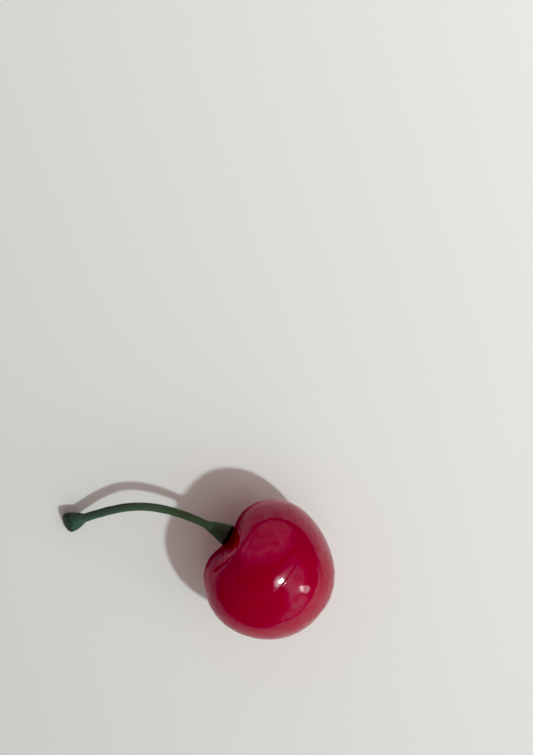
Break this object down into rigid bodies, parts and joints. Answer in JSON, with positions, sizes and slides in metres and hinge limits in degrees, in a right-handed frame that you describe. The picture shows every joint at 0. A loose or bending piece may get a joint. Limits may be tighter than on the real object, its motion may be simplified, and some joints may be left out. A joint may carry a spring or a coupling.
{
  "type": "cherry",
  "caption": "Round glossy red cherry lying on its side, with a deep valley at its top end and a thin arched green stem with a flared end.",
  "frame": {"origin": "on the fruit's small flat resting spot, straight under its middle", "axes": "-Z into the surface that the cherry lies on, +X along the overall length, away from the flared end of the stem, +Y to the side where the stem leaves the fruit"},
  "size_m": [0.051, 0.0255, 0.0244],
  "materials": {
    "fruit_skin": "deep crimson, high lacquer-like gloss",
    "stem_green": "dark bluish green, matte, olive to nearly black at the foot"
  },
  "bodies": {
    "root": {"fruit": "fruit_skin", "stem": "stem_green"}
  },
  "joints": []
}
